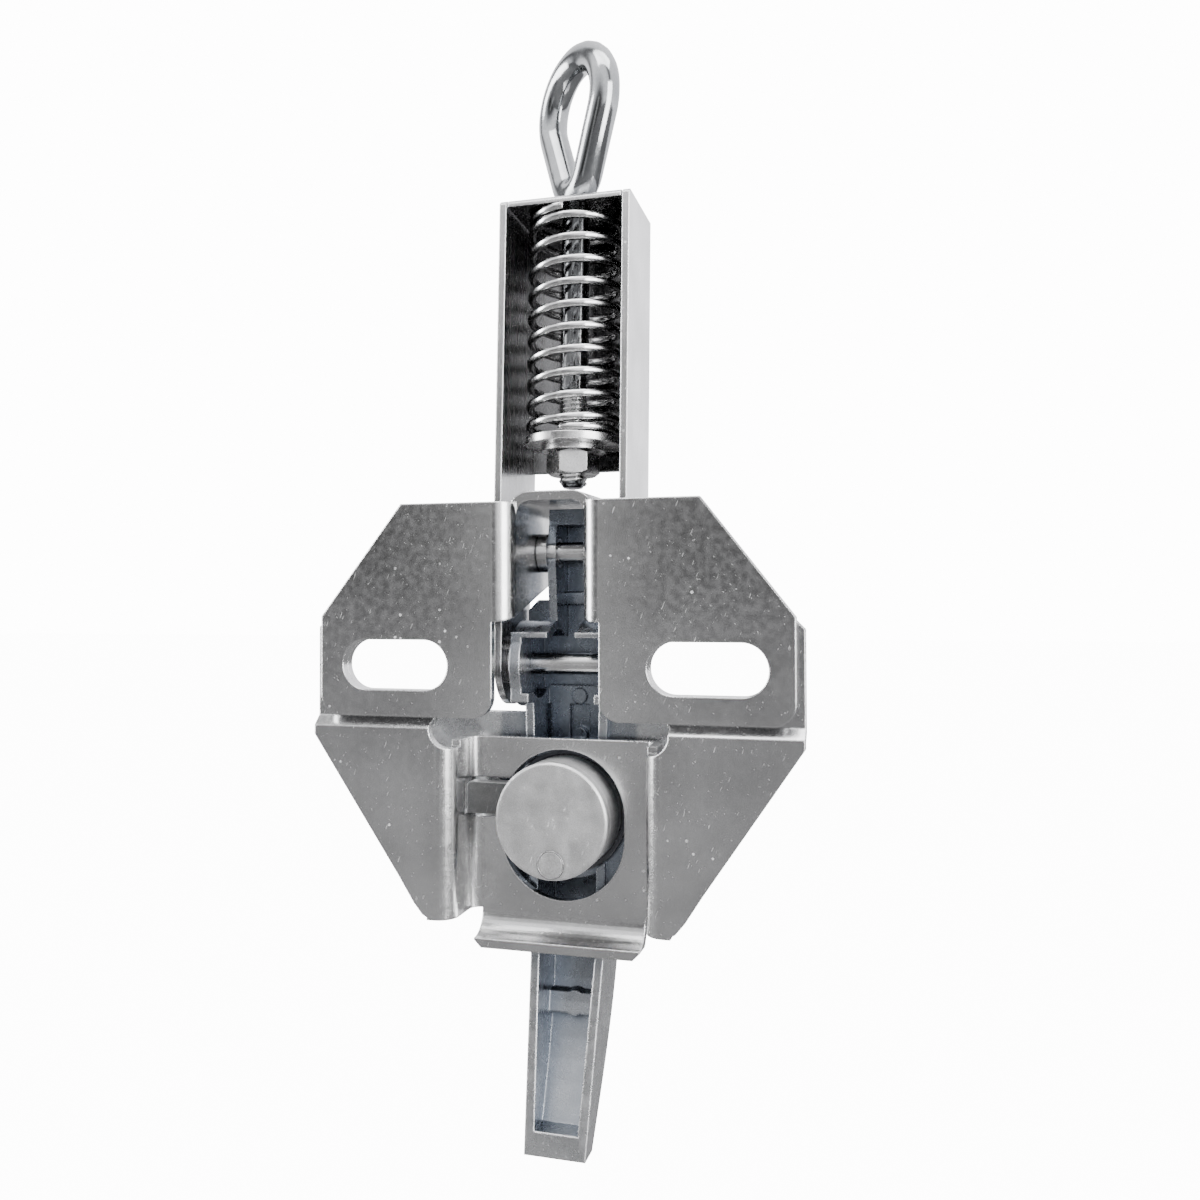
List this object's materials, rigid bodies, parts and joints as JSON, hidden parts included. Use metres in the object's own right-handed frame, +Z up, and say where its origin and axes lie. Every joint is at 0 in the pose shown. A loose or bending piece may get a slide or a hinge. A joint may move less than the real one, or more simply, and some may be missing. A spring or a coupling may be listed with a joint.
{
  "type": "over-centre draw latch",
  "caption": "Engine cover draw latch: slotted sheet brackets, a cast over-centre handle with a lock barrel, and a spring channel that pulls an eye bolt.",
  "frame": {"origin": "midway between the two mounting slots, on the mounting face", "axes": "+Y outwards from the mounting face, +Z up towards the eye, +X along the slots"},
  "size_m": [0.132, 0.0455, 0.3055],
  "materials": {
    "bracket_zinc": "zinc plated, satin",
    "pin_steel": "turned, plated",
    "clip_steel": "dark spring steel",
    "handle_casting": "die-cast, satin plated",
    "bush_steel": "plain",
    "lock_casting": "die-cast, matt",
    "plug_brass": "nickel plated",
    "bolt_steel": "plain",
    "channel_zinc": "zinc plated, bright",
    "washer_zinc": "zinc plated",
    "spring_zinc": "bright plated wire",
    "eye_zinc": "bright zinc plated",
    "nut_zinc": "zinc plated"
  },
  "bodies": {
    "bracket": {"upper_bracket": "bracket_zinc", "lower_bracket": "bracket_zinc", "pivot_pin": "pin_steel", "pivot_clip": "clip_steel"},
    "handle": {"handle": "handle_casting", "pivot_bushes": "bush_steel", "lock_housing": "lock_casting", "lock_cap": "lock_casting", "cap_screw": "pin_steel", "lock_ring": "clip_steel"},
    "plug": {"lock_plug": "plug_brass", "drive_pin": "pin_steel"},
    "bolt": {"lock_bolt": "bolt_steel"},
    "link": {"spring_channel": "channel_zinc", "link_pin": "pin_steel", "link_washers": "washer_zinc", "link_clip": "clip_steel", "spring": "spring_zinc"},
    "carrier": {"spring_seat": "washer_zinc", "flat_washer": "washer_zinc"},
    "eye": {"eye_bolt": "eye_zinc", "nut": "nut_zinc"}
  },
  "joints": [
    {"name": "handle_swing", "type": "hinge", "parent": "bracket", "child": "handle", "pos_m": [0, 0.026, 0.0304], "axis": [1, 0, 0], "range_deg": [0, 104]},
    {"name": "link_tilt", "type": "hinge", "parent": "handle", "child": "link", "pos_m": [0, 0.0243, -0.0006], "axis": [1, 0, 0], "range_deg": [-95.8, 0]},
    {"name": "key_turn", "type": "hinge", "parent": "handle", "child": "plug", "pos_m": [0, 0.03, -0.0405], "axis": [0, -1, 0], "range_deg": [0, 90]},
    {"name": "bolt_slide", "type": "slide", "parent": "handle", "child": "bolt", "axis": [-1, 0, 0], "range_m": [0, 0.0045]},
    {"name": "eye_pull", "type": "slide", "parent": "link", "child": "carrier", "axis": [0, 0.0523, 0.9986], "range_m": [0, 0.018], "stiffness_N_per_m": 2400, "springref_m": -0.008, "deforming": ["spring"]},
    {"name": "eye_swivel", "type": "hinge", "parent": "carrier", "child": "eye", "pos_m": [0, 0.023, -0.00053], "axis": [0, 0.0523, 0.9986], "continuous": true}
  ],
  "couplings": [
    {"joint": "link_tilt", "follows": "handle_swing", "ratio": -0.92},
    {"joint": "key_turn", "follows": "bolt_slide", "rad_per_m": 349.07}
  ]
}
